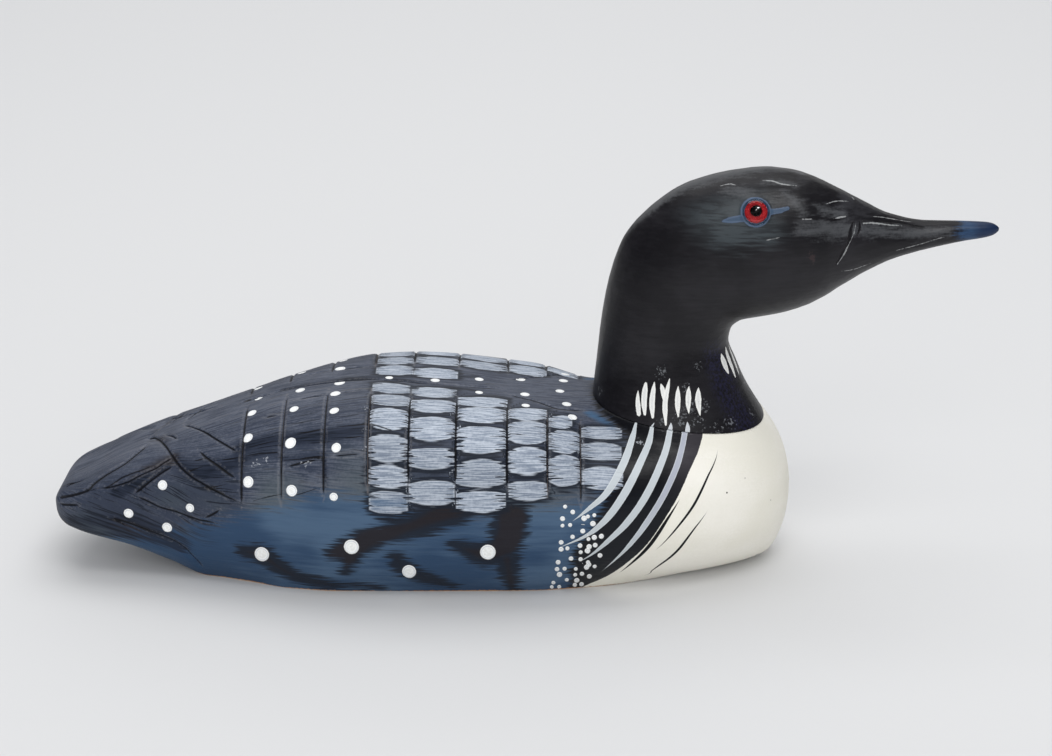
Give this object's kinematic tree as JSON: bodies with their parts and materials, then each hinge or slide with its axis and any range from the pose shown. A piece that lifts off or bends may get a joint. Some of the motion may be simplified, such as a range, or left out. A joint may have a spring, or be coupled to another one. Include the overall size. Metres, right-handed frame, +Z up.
{
  "type": "loon decoy",
  "caption": "Painted wooden decoy of a resting loon, with a carved body, a glued-on head and bill, glass eyes and a flat underside to stand on.",
  "frame": {"origin": "on the flat underside that the decoy stands on, midway between the end of the tail and the tip of the bill, on the middle line of the body", "axes": "+X toward the bill, +Z up, +Y toward the bird's left"},
  "size_m": [0.38, 0.108, 0.1656],
  "materials": {
    "painted_body": "hand-painted wood, blue-black above with pale patches and dots, cream breast, satin",
    "painted_head": "hand-painted wood, soft black with a blue bill tip, satin gloss",
    "eye_glass": "clear glass over a red iris and a black pupil"
  },
  "bodies": {
    "root": {"body": "painted_body", "head": "painted_head", "eye_left": "eye_glass", "eye_right": "eye_glass"}
  },
  "joints": []
}
